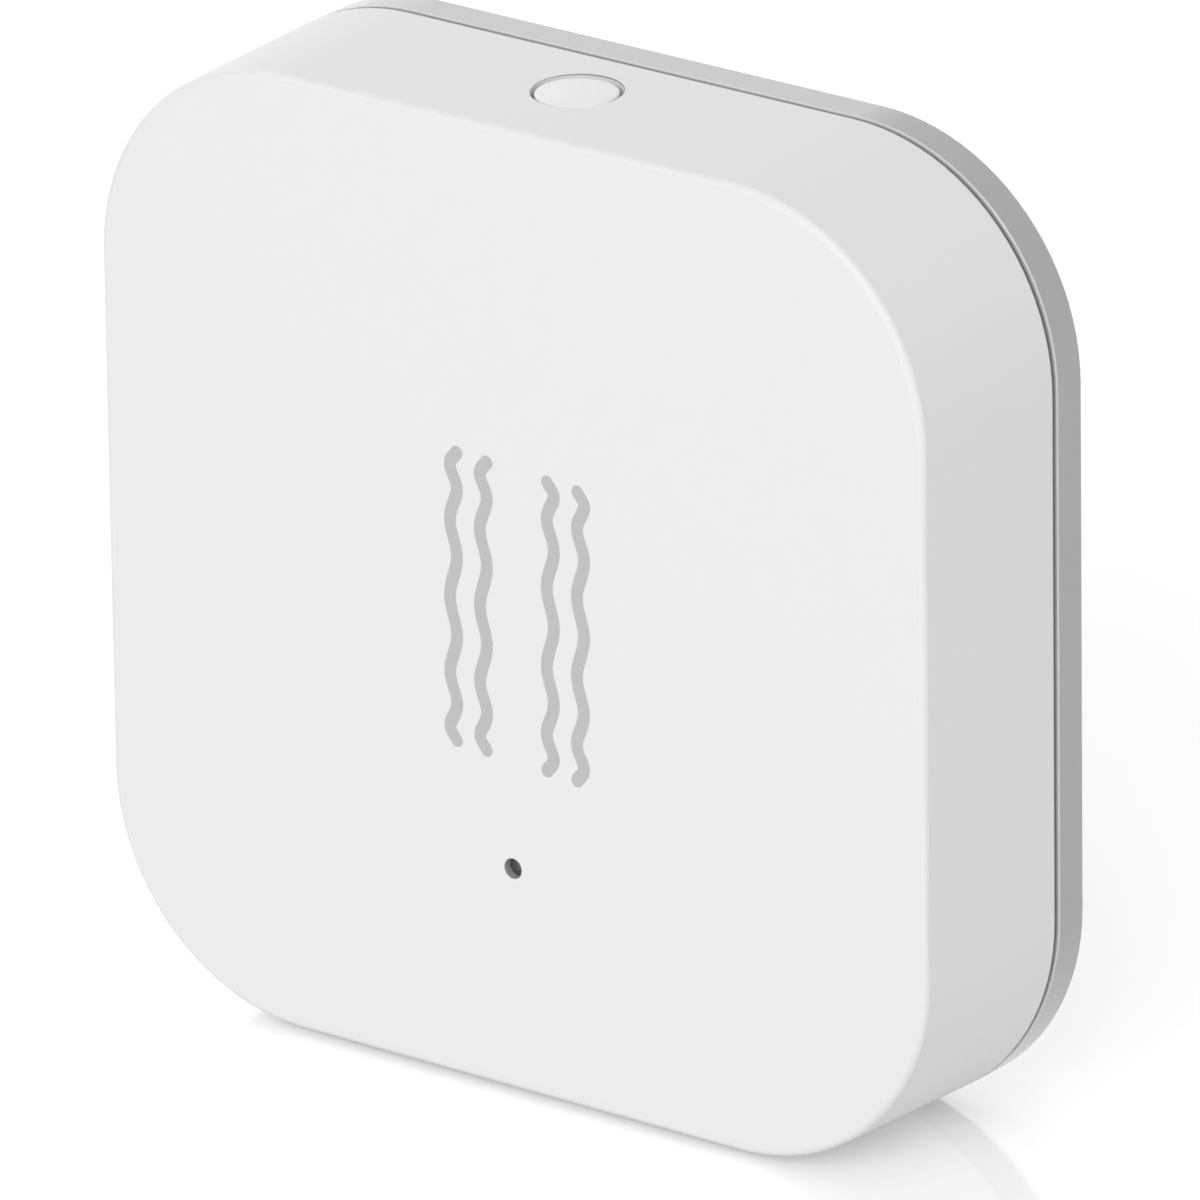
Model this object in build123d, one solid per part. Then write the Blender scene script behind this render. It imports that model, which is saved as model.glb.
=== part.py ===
from build123d import *
import math
import os

# Vibration sensor tag: a square battery sensor that is stuck by its back to a window, door or appliance.
# +Z is up and the printed front faces -Y. The origin is on the ground, under the middle of the housing.
# All lengths are in millimetres. Shares are fractions of the size that their comment names.

# Housing; the shell's outside is drafted, and the angle is in degrees. The flats are shares of the front edge's radius.
body_width = 44.0
body_height = 44.0
corner_radius = 10.2
shell_depth = 8.8
shell_draft_angle = 1.75
cover_depth = 2.2
pad_thickness = 1.0
front_wall = 1.6
side_wall = 1.5
front_edge_radius = 0.32
front_edge_flat_shares = (0.586, 0.215)
cover_edge_chamfer = 0.1
cover_rear_chamfer = 0.2
parting_groove_width = 0.26
parting_groove_depth = 0.5

# Clearances and cutting allowances
fit_gap = 0.1
running_gap = 0.15
contact_gap = 0.03
cut_overrun = 1.0
level_tolerance = 0.001
root_depth = 0.4

# Straight rims and snaps that hold the back cover in the shell
rim_length = 21.0
rim_height = 1.1
rim_wall = 0.9
snap_length = 5.0
snap_height = 0.6
snap_reach = 0.25
snap_offset = 7.0

# Button in the top wall
button_setback = 5.2
button_bore_radius = 2.0
button_radius = 1.8
button_rim_drop = 0.22
button_crown_height = 0.12
button_edge_chamfer = 0.15
button_flange_radius = 2.35
button_flange_thickness = 0.55
button_stem_radius = 1.1

# Circuit board
board_thickness = 1.0
board_edge_gap = 0.6
board_behind_button_axis = 1.0
board_notch_width = 7.2
board_notch_drop = 3.7

# Bosses for the board's screws; the places are shares of half the board
screw_place_shares = [(0.74, 0.62), (-0.74, -0.62)]
boss_radius = 1.9
pilot_radius = 0.75
pilot_into_wall = 0.6
board_hole_radius = 0.9

# Status light: pinhole, light pipe and lamp
pinhole_drop = 11.6
pinhole_radius = 0.45
pipe_radius = 0.41
pipe_recess = 0.35
pipe_foot_radius = 1.1
pipe_socket_wall = 0.6
pipe_socket_height = 0.7
lamp_width = 1.6
lamp_height = 0.8
lamp_depth = 0.7
lamp_lens_side = 0.6
lamp_base_depth = 0.35

# Coin cell
cell_radius = 10.0
cell_thickness = 3.2
cell_edge_chamfer = 0.35
cell_cap_radius = 8.7
cell_cap_step = 0.3

# Battery holder and its contacts
holder_wall = 1.0
holder_top_gap = 0.3
holder_shelf_width = 0.9
holder_slot_width = 5.0
holder_thumb_width = 9.0
holder_thumb_depth = 1.3
strip_thickness = 0.2
strip_bend_radius = 0.45
plus_strip_width = 4.0
plus_foot_length = 2.4
plus_rise = 2.6
plus_bow = 0.75
minus_strip_width = 3.0
minus_foot_length = 2.0
minus_arm_length = 3.9
minus_tip_drop = 0.7

# Battery door with three bayonet lugs; angles are in degrees
door_flange_thickness = 0.8
door_edge_chamfer = 0.2
door_neck_gap = 0.25
door_neck_wall = 0.8
door_lip = 0.6
door_core_thickness = 1.6
door_cell_gap = 0.05
door_skirt_depth = 0.75
lug_count = 3
lug_reach = 1.2
lug_angle = 22.0
lug_first_angle = 90.0
lug_gap_angle = 1.5
unlock_angle = 30.0
stop_angle = 5.0
coin_radius = 12.2
coin_slot_width = 1.9
coin_slot_depth = 1.0

# Adhesive pad around the door
pad_margin = 2.4
pad_door_gap = 1.1

# Side-acting switch at the notch of the board
switch_width = 4.0
switch_height = 3.0
switch_sheet = 0.15
switch_cavity_width = 2.7
switch_lip = 0.4
switch_head_width = 1.6
switch_head_depth = 1.4
switch_head_rise = 0.7
switch_shoulder_width = 2.2
switch_shoulder_height = 0.4
dome_width = 0.8
dome_rise = 0.5
dome_span = 2.3
dome_thickness = 0.1
terminal_width = 0.6
terminal_length = 0.35
terminal_offset = 1.3

# Parts on the front of the board; places are shares of half the board
radio_side = 6.0
radio_depth = 0.85
radio_place_share = (-0.36, 0.16)
motion_side = 3.0
motion_depth = 0.95
motion_place_share = (0.3, 0.12)
main_crystal_size = (3.2, 2.5)
main_crystal_depth = 0.7
main_crystal_place_share = (-0.36, -0.2)
clock_crystal_size = (3.2, 1.5)
clock_crystal_depth = 0.9
clock_crystal_place_share = (-0.66, 0.2)
reservoir_size = (3.5, 2.8)
reservoir_depth = 1.2
reservoir_place_share = (0.52, -0.12)
chip_edge_chamfer = 0.1
small_part_length = 1.0
small_part_width = 0.5
small_part_depth = 0.4
small_part_pitch = 1.5
capacitor_row_shares = [(-0.1, 0.42), (0.1, -0.12)]
capacitor_count = 6
resistor_row_shares = [(-0.36, 0.52), (0.1, -0.26)]
resistor_count = 4

# Printed aerial along the lower edge of the board; its height is a share of the way up to the pinhole
aerial_track = 0.6
aerial_pitch = 1.6
aerial_height_share = 0.44
aerial_turns = 9
aerial_thickness = 0.1
aerial_edge_gap = 0.8

# Places worked out from the sizes above
mid_z = body_height / 2
total_depth = shell_depth + cover_depth + pad_thickness
front_y = -total_depth / 2
front_inner_y = front_y + front_wall
parting_y = front_y + shell_depth
rear_y = parting_y + cover_depth
pad_y = rear_y + pad_thickness
rim_inset = side_wall + fit_gap
rim_front_y = parting_y - rim_height
button_y = front_y + button_setback
board_back_y = button_y - board_behind_button_axis
board_front_y = board_back_y - board_thickness
board_inset = side_wall + board_edge_gap
board_half_width = body_width / 2 - board_inset
board_half_height = body_height / 2 - board_inset
notch_z = body_height - board_notch_drop
pinhole_z = mid_z - pinhole_drop
door_ledge_y = rear_y - door_flange_thickness
door_core_y = rear_y - door_core_thickness
cell_back_y = door_core_y - door_cell_gap
cell_front_y = cell_back_y - cell_thickness
lug_back_y = parting_y - fit_gap
lug_front_y = lug_back_y - door_skirt_depth
holder_inner_radius = cell_radius + running_gap
holder_outer_radius = holder_inner_radius + holder_wall
holder_back_y = lug_front_y - holder_top_gap
neck_inner_radius = holder_outer_radius + door_neck_gap
door_neck_radius = neck_inner_radius + door_neck_wall
lug_radius = door_neck_radius + lug_reach
door_radius = lug_radius + door_lip
aerial_low_z = mid_z - board_half_height + aerial_edge_gap
plunger_top_z = notch_z + switch_head_rise
shoulder_top_z = notch_z - switch_lip - contact_gap
shoulder_z = shoulder_top_z - switch_shoulder_height
switch_back_y = button_y + board_behind_button_axis


def depth_plane(y):
    """Sketch plane square to the depth, with sketch x along +X and sketch y along +Z."""
    return Plane(origin=(0, y, 0), x_dir=(1, 0, 0), z_dir=(0, -1, 0))


def slab(sketch, y_front, y_back):
    """A sketch of X and Z made solid between two depths."""
    return extrude(depth_plane(y_back) * sketch, amount=y_back - y_front)


def outline(inset):
    """The rounded square of the housing, drawn in by inset on every side."""
    width = body_width - 2 * inset
    height = body_height - 2 * inset
    return Pos(0, mid_z) * RectangleRounded(width, height, corner_radius - inset)


def disc(radius, x=0, z=mid_z):
    """A round face seen from the front."""
    return Pos(x, z) * Circle(radius)


def ring(outer, inner, x=0, z=mid_z):
    """A flat ring seen from the front."""
    return disc(outer, x, z) - disc(inner, x, z)


def sector(outer, inner, middle_angle, width_angle):
    """A piece of a flat ring round the middle of the body, cut out by two rays."""
    reach = 2 * outer
    corners = [(0, 0)]
    for side in (-1, 1):
        angle = math.radians(middle_angle + side * width_angle / 2)
        corners.append((reach * math.cos(angle), reach * math.sin(angle)))
    wedge = Pos(0, mid_z) * Polygon(*corners, align=None)
    return ring(outer, inner) & wedge


def column(radius, z_low, z_high):
    """A round bar on the button's upright axis."""
    return extrude(Pos(0, button_y, z_low) * Circle(radius), amount=z_high - z_low)


def board_place(shares):
    """A place on the board from shares of half its width and height, as x and z."""
    return shares[0] * board_half_width, mid_z + shares[1] * board_half_height


def on_board(size, depth, shares):
    """A rectangular part that stands on the front of the board, with its top edges broken."""
    x, z = board_place(shares)
    part = slab(Pos(x, z) * Rectangle(*size), board_front_y - depth, board_front_y)
    return chamfer(part.edges().group_by(Axis.Y)[0], chip_edge_chamfer)


def snap_places(inset):
    """Places of the eight snaps on a wall drawn in by inset: x along the wall, y in depth, z outwards."""
    half_height = body_height / 2 - inset
    half_width = body_width / 2 - inset
    y = rim_front_y + rim_height / 2
    places = []
    for angle, reach in ((0, half_height), (90, half_width), (180, half_height), (270, half_width)):
        for side in (-1, 1):
            places.append(Pos(0, y, mid_z) * Rot(0, angle, 0) * Pos(side * snap_offset, 0, reach))
    return places


def snap_ridge(place, length, height, reach):
    """A ridge of triangular section along a wall."""
    section = Plane.YZ * Polygon((-height / 2, 0), (0, reach), (height / 2, 0), align=None)
    return place * extrude(section, amount=length / 2, both=True)


def soften_front(shell):
    """Rounds the edge of the front face with three narrow flats."""
    for share in front_edge_flat_shares:
        loops = [edge for edge in shell.edges() if edge.bounding_box().size.Y < level_tolerance]
        rims = [edge for edge in loops if edge.center().Y < front_y + front_edge_radius]
        shell = chamfer(rims, share * front_edge_radius)
    return shell


def front_shell():
    """White tray: front face and side walls, with bosses, light socket, button bore and snap grooves."""
    shell = extrude(depth_plane(parting_y) * outline(0), amount=shell_depth, taper=shell_draft_angle)
    shell = soften_front(shell)
    shell -= slab(outline(side_wall), front_inner_y, parting_y + cut_overrun)
    for shares in screw_place_shares:
        x, z = board_place(shares)
        pilot_y = front_inner_y - pilot_into_wall
        shell += slab(disc(boss_radius, x, z), front_inner_y - root_depth, board_front_y)
        shell -= slab(disc(pilot_radius, x, z), pilot_y, board_front_y + cut_overrun)
    socket_radius = pipe_foot_radius + fit_gap
    socket = ring(socket_radius + pipe_socket_wall, socket_radius, 0, pinhole_z)
    shell += slab(socket, front_inner_y - root_depth, front_inner_y + pipe_socket_height)
    shell -= slab(disc(socket_radius, 0, pinhole_z), front_inner_y, front_inner_y + pipe_socket_height)
    shell -= slab(disc(pinhole_radius, 0, pinhole_z), front_y - cut_overrun, front_inner_y + cut_overrun)
    groove_length = snap_length + 2 * fit_gap
    groove_height = snap_height + 2 * fit_gap
    for place in snap_places(side_wall):
        shell -= snap_ridge(place, groove_length, groove_height, snap_reach + fit_gap)
    bore_low_z = body_height - side_wall - cut_overrun
    return shell - column(button_bore_radius, bore_low_z, body_height + cut_overrun)


def back_cover():
    """Grey cover: a stepped plate, four rims with snaps, and the bayonet's ledge, notches and stops."""
    band_y = parting_y + parting_groove_width
    cover = slab(outline(0), band_y, rear_y)
    cover = chamfer(cover.edges().group_by(Axis.Y)[0], cover_edge_chamfer)
    cover = chamfer(cover.edges().group_by(Axis.Y)[-1], cover_rear_chamfer)
    cover += slab(outline(parting_groove_depth), parting_y, band_y + root_depth)
    rims = outline(rim_inset) - outline(rim_inset + rim_wall)
    cross = Rectangle(body_width, rim_length) + Rectangle(rim_length, body_height)
    cover += slab(rims & Pos(0, mid_z) * cross, rim_front_y, parting_y + root_depth)
    for place in snap_places(rim_inset):
        cover += snap_ridge(place, snap_length, snap_height, snap_reach + fit_gap)
    cover -= slab(disc(door_neck_radius + running_gap), rim_front_y, rear_y + cut_overrun)
    cover -= slab(disc(door_radius + running_gap), door_ledge_y, rear_y + cut_overrun)
    for angle in lug_angles():
        opening = lug_angle + lug_gap_angle
        notch = sector(lug_radius + running_gap, door_neck_radius, angle - unlock_angle, opening)
        cover -= slab(notch, parting_y - cut_overrun, door_ledge_y + cut_overrun)
        for middle in stop_angles(angle):
            stop = sector(lug_radius, door_neck_radius + running_gap, middle, stop_angle)
            cover += slab(stop, lug_front_y, parting_y + root_depth)
    return cover


def lug_angles():
    """Middle angle of each lug of the locked door, seen from the front."""
    return [lug_first_angle + index * 360 / lug_count for index in range(lug_count)]


def stop_angles(angle):
    """Middle angles of the two stops that one lug meets, locked and free."""
    reach = (lug_angle + lug_gap_angle + stop_angle) / 2
    return angle + reach, angle - unlock_angle - reach


def battery_door():
    """Round grey door: a flange in the cover's recess, a neck with bayonet lugs, and a coin slot."""
    flange_y = door_ledge_y + contact_gap
    door = slab(disc(door_radius), flange_y, rear_y)
    door = chamfer(door.edges().group_by(Axis.Y)[-1], door_edge_chamfer)
    door += slab(disc(door_neck_radius), lug_front_y, flange_y + root_depth)
    door -= slab(disc(neck_inner_radius), lug_front_y - cut_overrun, door_core_y)
    for angle in lug_angles():
        lug = sector(lug_radius, neck_inner_radius, angle, lug_angle)
        door += slab(lug, lug_front_y, lug_back_y)
    coin_y = rear_y - coin_slot_depth + coin_radius
    return door - Pos(0, coin_y, mid_z) * Cylinder(coin_radius, coin_slot_width)


def adhesive_pad():
    """Foam pad on the back, with a round hole for the battery door."""
    return slab(outline(pad_margin) - disc(door_radius + pad_door_gap), rear_y, pad_y)


def button_cap():
    """White push cap: a domed top in the bore, a flange behind the wall and a stem down to the switch."""
    rim_z = body_height - button_rim_drop
    flange_top_z = body_height - side_wall - fit_gap
    flange_low_z = flange_top_z - button_flange_thickness
    stem_z = plunger_top_z + contact_gap
    crown = (0, rim_z + button_crown_height)
    rim = (button_radius, rim_z)
    dome = TangentArc(crown, rim, tangent=(1, 0))
    steps = [
        rim,
        (button_radius, flange_top_z),
        (button_flange_radius, flange_top_z),
        (button_flange_radius, flange_low_z),
        (button_stem_radius, flange_low_z),
        (button_stem_radius, stem_z),
        (0, stem_z),
        crown,
    ]
    profile = make_face(dome.edges() + Polyline(*steps).edges())
    rim_corner = profile.vertices().sort_by_distance(rim)[0]
    profile = chamfer(rim_corner, button_edge_chamfer)
    return Pos(0, button_y, 0) * revolve(Plane.XZ * profile, Axis.Z)


def light_pipe():
    """Clear pin that carries the lamp's light to the pinhole, with a wide foot in the shell's socket."""
    tail_y = board_front_y - lamp_depth - fit_gap
    pipe = slab(disc(pipe_radius, 0, pinhole_z), front_y + pipe_recess, tail_y)
    return pipe + slab(disc(pipe_foot_radius, 0, pinhole_z), front_inner_y, tail_y)


def status_lamp():
    """Small lamp on the board behind the light pipe, with its lens on a wider base."""
    base = Pos(0, pinhole_z) * Rectangle(lamp_width, lamp_height)
    lens = Pos(0, pinhole_z) * Rectangle(lamp_lens_side, lamp_lens_side)
    lamp = slab(base, board_front_y - lamp_base_depth, board_front_y)
    return lamp + slab(lens, board_front_y - lamp_depth, board_front_y)


def circuit_board():
    """Board with round corners, a notch for the switch and holes for the screws."""
    notch = Pos(0, (notch_z + body_height) / 2) * Rectangle(board_notch_width, body_height - notch_z)
    board = outline(board_inset) - notch
    for shares in screw_place_shares:
        board -= disc(board_hole_radius, *board_place(shares))
    return slab(board, board_front_y, board_back_y)


def radio_chip():
    """Square radio and control chip."""
    return on_board((radio_side, radio_side), radio_depth, radio_place_share)


def motion_chip():
    """Acceleration sensor that feels knocks, tilts and drops."""
    return on_board((motion_side, motion_side), motion_depth, motion_place_share)


def main_crystal():
    """Metal can that times the radio."""
    return on_board(main_crystal_size, main_crystal_depth, main_crystal_place_share)


def clock_crystal():
    """Slim can that times the sleep clock."""
    return on_board(clock_crystal_size, clock_crystal_depth, clock_crystal_place_share)


def reservoir_capacitor():
    """Large capacitor that helps the cell through each radio burst."""
    return on_board(reservoir_size, reservoir_depth, reservoir_place_share)


def small_parts(row_shares, count):
    """Rows of small upright parts on the front of the board, one solid each."""
    parts = []
    for shares in row_shares:
        x, z = board_place(shares)
        for index in range(count):
            step = (index - (count - 1) / 2) * small_part_pitch
            face = Pos(x + step, z) * Rectangle(small_part_width, small_part_length)
            parts.append(slab(face, board_front_y - small_part_depth, board_front_y))
    return Compound(children=parts)


def chip_capacitors():
    """Small capacitors, in rows."""
    return small_parts(capacitor_row_shares, capacitor_count)


def chip_resistors():
    """Small resistors, in rows."""
    return small_parts(resistor_row_shares, resistor_count)


def aerial():
    """Copper track that winds along the lower edge of the board."""
    aerial_height = (pinhole_z - aerial_low_z) * aerial_height_share
    bar_z = aerial_low_z + aerial_height / 2
    track = Sketch()
    for index in range(aerial_turns):
        x = (index - (aerial_turns - 1) / 2) * aerial_pitch
        track += Pos(x, bar_z) * Rectangle(aerial_track, aerial_height)
        if index < aerial_turns - 1:
            z = bar_z + (-1) ** index * (aerial_height - aerial_track) / 2
            track += Pos(x + aerial_pitch / 2, z) * Rectangle(aerial_pitch + aerial_track, aerial_track)
    return slab(track, board_front_y - aerial_thickness, board_front_y)


def coin_cell():
    """Round lithium cell: the wide positive can, with its edge broken, and the negative cap in front."""
    can = slab(disc(cell_radius), cell_front_y + cell_cap_step, cell_back_y)
    can = chamfer(can.edges().group_by(Axis.Y)[-1], cell_edge_chamfer)
    return can + slab(disc(cell_cap_radius), cell_front_y, cell_back_y - cell_edge_chamfer)


def battery_holder():
    """Ring that holds the cell on the board, with a shelf under it, a contact slot and a thumb notch."""
    seat_y = cell_front_y + cell_cap_step - contact_gap
    shelf_radius = holder_inner_radius - holder_shelf_width
    holder = slab(ring(holder_outer_radius, shelf_radius), board_back_y, holder_back_y)
    holder -= slab(disc(holder_inner_radius), seat_y, holder_back_y + cut_overrun)
    slot_depth = 2 * (holder_outer_radius - shelf_radius + holder_wall)
    slot = Pos(holder_outer_radius, mid_z) * Rectangle(slot_depth, holder_slot_width)
    holder -= slab(slot, board_back_y - cut_overrun, holder_back_y + cut_overrun)
    thumb = Pos(-holder_outer_radius, mid_z) * Rectangle(2 * holder_wall, holder_thumb_width)
    return holder - slab(thumb, holder_back_y - holder_thumb_depth, holder_back_y + cut_overrun)


def strip(points, width):
    """A bent metal strip: its path in plan, its width standing along Z."""
    path = FilletPolyline(*points, radius=strip_bend_radius)
    return extrude(Pos(0, 0, mid_z) * trace(path, strip_thickness), amount=width / 2, both=True)


def plus_contact():
    """Side contact that presses on the can, bent up from a foot on the board."""
    foot_y = board_back_y + strip_thickness / 2
    riser_x = (holder_inner_radius + holder_outer_radius) / 2
    touch_x = cell_radius + contact_gap + strip_thickness / 2
    touch_y = cell_front_y + plus_rise - plus_bow
    points = [
        (riser_x + plus_foot_length, foot_y),
        (riser_x, foot_y),
        (riser_x, touch_y - plus_bow),
        (touch_x, touch_y),
        (riser_x, touch_y + plus_bow),
    ]
    return strip(points, plus_strip_width)


def minus_contact():
    """Leaf spring under the cell, bent up from a foot on the board."""
    foot_y = board_back_y + strip_thickness / 2
    touch_y = cell_front_y - contact_gap - strip_thickness / 2
    points = [
        (-minus_arm_length - minus_foot_length, foot_y),
        (-minus_arm_length, foot_y),
        (0, touch_y),
        (minus_arm_length, touch_y - minus_tip_drop),
    ]
    return strip(points, minus_strip_width)


def switch_block(width, y_front, y_back, z_low, z_high, x=0):
    """A block of the switch, from its limits in depth and height and its width round x."""
    face = Pos(x, (z_low + z_high) / 2) * Rectangle(width, z_high - z_low)
    return slab(face, y_front, y_back)


def switch_housing():
    """Switch body on the back of the board, open at the top for the plunger and at its back."""
    low_z = notch_z - switch_height
    floor_z = shoulder_z - dome_rise - 2 * dome_thickness
    slot_y = button_y - switch_head_depth / 2 - contact_gap
    back_y = switch_back_y - switch_sheet
    body = switch_block(switch_width, board_back_y, back_y, low_z, notch_z)
    body -= switch_block(switch_cavity_width, slot_y, back_y + cut_overrun, floor_z, notch_z - switch_lip)
    head_slot = switch_head_width + 2 * contact_gap
    return body - switch_block(head_slot, slot_y, back_y + cut_overrun, floor_z, notch_z + cut_overrun)


def switch_plunger():
    """Push piece of the switch, kept in by its shoulders."""
    front_face_y = button_y - switch_head_depth / 2
    back_face_y = button_y + switch_head_depth / 2
    head = switch_block(switch_head_width, front_face_y, back_face_y, shoulder_z, plunger_top_z)
    width = switch_shoulder_width
    return head + switch_block(width, front_face_y, back_face_y, shoulder_z, shoulder_top_z)


def switch_dome():
    """Sprung metal strip under the plunger that clicks and returns it."""
    crown_z = shoulder_z - contact_gap - dome_thickness / 2
    foot_z = crown_z - dome_rise
    arch = ThreePointArc((-dome_span / 2, foot_z), (0, crown_z), (dome_span / 2, foot_z))
    return slab(trace(arch, dome_thickness), button_y - dome_width / 2, button_y + dome_width / 2)


def switch_frame():
    """Folded metal sheet that closes the switch's back and grips its sides."""
    low_z = notch_z - switch_height
    side_low_z = low_z + switch_lip
    side_high_z = notch_z - switch_lip
    sheet_y = switch_back_y - switch_sheet + contact_gap
    frame_width = switch_width + 2 * (switch_sheet + contact_gap)
    sheet = switch_block(frame_width, sheet_y, switch_back_y, low_z, notch_z)
    for side in (-1, 1):
        x = side * (frame_width - switch_sheet) / 2
        sheet += switch_block(switch_sheet, board_back_y, switch_back_y, side_low_z, side_high_z, x)
    return sheet


def switch_terminals():
    """Two solder feet below the switch."""
    high_z = notch_z - switch_height
    low_z = high_z - terminal_length
    foot_y = board_back_y + switch_sheet
    feet = []
    for side in (-1, 1):
        x = side * terminal_offset
        feet.append(switch_block(terminal_width, board_back_y, foot_y, low_z, high_z, x))
    return Compound(children=feet)


def main():
    """Builds every piece and writes it to its own file."""
    pieces = [
        front_shell,
        back_cover,
        battery_door,
        adhesive_pad,
        button_cap,
        light_pipe,
        status_lamp,
        circuit_board,
        radio_chip,
        motion_chip,
        main_crystal,
        clock_crystal,
        reservoir_capacitor,
        chip_capacitors,
        chip_resistors,
        aerial,
        coin_cell,
        battery_holder,
        plus_contact,
        minus_contact,
        switch_housing,
        switch_plunger,
        switch_dome,
        switch_frame,
        switch_terminals,
    ]
    os.makedirs("parts", exist_ok=True)
    for piece in pieces:
        export_step(piece(), "parts/" + piece.__name__ + ".step")


if __name__ == "__main__":
    main()
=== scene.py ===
import math

import bmesh
import bpy
from bpy.props import FloatProperty, FloatVectorProperty, IntProperty, PointerProperty
from bpy.types import Operator, Panel, PropertyGroup
from mathutils import Matrix, Vector, noise


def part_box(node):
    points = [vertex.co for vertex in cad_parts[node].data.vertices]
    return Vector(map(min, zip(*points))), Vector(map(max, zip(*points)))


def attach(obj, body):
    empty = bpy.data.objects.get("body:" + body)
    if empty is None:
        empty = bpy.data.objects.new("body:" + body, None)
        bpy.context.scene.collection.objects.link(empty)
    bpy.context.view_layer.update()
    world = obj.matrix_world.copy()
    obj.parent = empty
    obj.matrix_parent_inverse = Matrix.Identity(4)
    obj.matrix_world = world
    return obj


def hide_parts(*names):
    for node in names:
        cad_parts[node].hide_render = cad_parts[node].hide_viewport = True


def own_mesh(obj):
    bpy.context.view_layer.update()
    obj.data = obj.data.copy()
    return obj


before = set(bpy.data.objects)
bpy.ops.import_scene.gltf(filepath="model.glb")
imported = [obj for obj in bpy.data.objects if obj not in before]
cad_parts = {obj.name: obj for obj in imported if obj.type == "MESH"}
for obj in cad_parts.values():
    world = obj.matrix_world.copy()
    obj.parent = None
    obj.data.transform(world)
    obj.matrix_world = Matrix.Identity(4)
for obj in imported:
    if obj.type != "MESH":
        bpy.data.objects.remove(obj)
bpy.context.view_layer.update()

bl_info = {
    "name": "Vibration Sensor Tag",
    "version": (1, 0, 0),
    "blender": (4, 5, 0),
    "location": "View3D > Sidebar > Sensor Tag",
    "description": "Dresses the square vibration sensor tag: finishes, wave print, foam pad and studio",
    "category": "Object",
}

MM = 0.001
SHELL_LOW, SHELL_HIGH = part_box("front_shell")
PAD_LOW, PAD_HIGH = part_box("adhesive_pad")
CAP_LOW, CAP_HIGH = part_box("button_cap")
PIPE_LOW, PIPE_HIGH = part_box("light_pipe")
BOARD_BACK_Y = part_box("circuit_board")[1].y
FRONT_Y = SHELL_LOW.y
PARTING_Y = SHELL_HIGH.y
MIDDLE_Z = (SHELL_LOW.z + SHELL_HIGH.z) / 2
CAP_MIDDLE = (CAP_LOW + CAP_HIGH) / 2

# How far from its axis the wall of the button's bore, and of the pinhole, carries painted shade
BORE_SHADE = 2.02 * MM
PINHOLE_SHADE = 0.47 * MM
# Over what depth the painted shade fades out on the shell's edge, in front of the groove
SHELL_EDGE_SHADE = 0.08 * MM
# Where the painted shade, and then the painted highlight line, starts and ends fading on the cover, behind
# the groove
COVER_SHADE = (0.04 * MM, 0.07 * MM)
COVER_HIGHLIGHT = (0.12 * MM, 0.17 * MM)
# What each end of a wave line is cut short by, in bends, so that it doesn't fold over itself
WAVE_END_CUT = 0.15
# Colour of the spring metal of contacts and snap dome
SPRING_METAL = (0.78, 0.75, 0.68)
# What the two small lamps behind look at
UPPER_LEFT = (-0.01, 0.004, 0.044)
# How far behind the front face the camera's aim lies
AIM_DEPTH = 7.0 * MM
# Side of the picture that the camera's aim is given in
PICTURE = 1200.0


# Sizes and colours that a user may change

def length_property(name, description, default_mm):
    """A length setting, given in millimetres and kept in metres."""
    default = default_mm * MM
    return FloatProperty(name=name, description=description, default=default, unit="LENGTH", precision=6)


def number_property(name, description, default, unit="NONE"):
    """A setting in Blender's own unit, or a plain number."""
    return FloatProperty(name=name, description=description, default=default, unit=unit)


def colour_property(name, description, default):
    """A colour setting."""
    return FloatVectorProperty(
        name=name,
        description=description,
        default=default,
        subtype="COLOR",
        min=0,
        max=1,
    )


class TagFinish(PropertyGroup):
    """Colours and surface texture of the tag's pieces."""

    shell_colour: colour_property("Shell", "White plastic of the front shell", (0.868, 0.868, 0.868))
    # The button's white is set lighter than the shell's as painted light on the cap
    lit_button_colour: colour_property("Button", "White plastic of the button", (0.925, 0.925, 0.925))
    cover_colour: colour_property("Cover", "Silver grey plastic of the cover and door", (0.4, 0.4, 0.4))
    print_colour: colour_property("Print", "Grey ink of the wave lines", (0.545, 0.545, 0.545))
    pad_colour: colour_property("Pad", "Off-white foam of the adhesive pad", (0.85, 0.845, 0.825))
    board_colour: colour_property("Board", "Green lacquer of the circuit board", (0.012, 0.105, 0.04))
    copper_colour: colour_property("Copper", "Bare copper of the aerial", (0.82, 0.46, 0.26))
    grain_size: length_property("Mould grain", "Width of one grain of the moulded texture", 0.14)
    grain_depth: length_property("Grain depth", "Depth of the moulded texture", 0.0035)
    foam_cell: length_property("Foam cell", "Width of one cell of the foam", 0.22)
    groove_width: length_property("Groove width", "Width of the groove between shell and cover", 0.26)


class TagWaves(PropertyGroup):
    """The four wavy lines printed on the front."""

    stroke: length_property("Stroke", "Width of a printed line", 0.62)
    ink_thickness: length_property("Ink thickness", "How far the ink stands on the shell", 0.012)
    swing: length_property("Swing", "How far a line swings each side of its middle", 0.185)
    bend_span: length_property("Bend span", "Half height that the bends close up towards", 6.783)
    bend_turn: number_property("Bend turn", "Turn from one bend to the next", 0.2671, "ROTATION")
    bends: IntProperty(name="Bends", description="Bends above and below the middle of a line", default=5)
    pitch: length_property("Pitch", "Distance between the two lines of a pair", 1.595)
    pair_gap: length_property("Pair gap", "Distance between the middles of the two pairs", 5.147)
    middle_x: length_property("Middle x", "Middle of the four lines across the face", 0.412)
    middle_z: length_property("Middle z", "Middle of the print above the face's middle", -0.03)
    slope: number_property("Slope", "Fall of the row of lines to the right", 0.0575, "ROTATION")
    lean: number_property("Lean", "Lean of each line to the right", 0.0168, "ROTATION")


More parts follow.
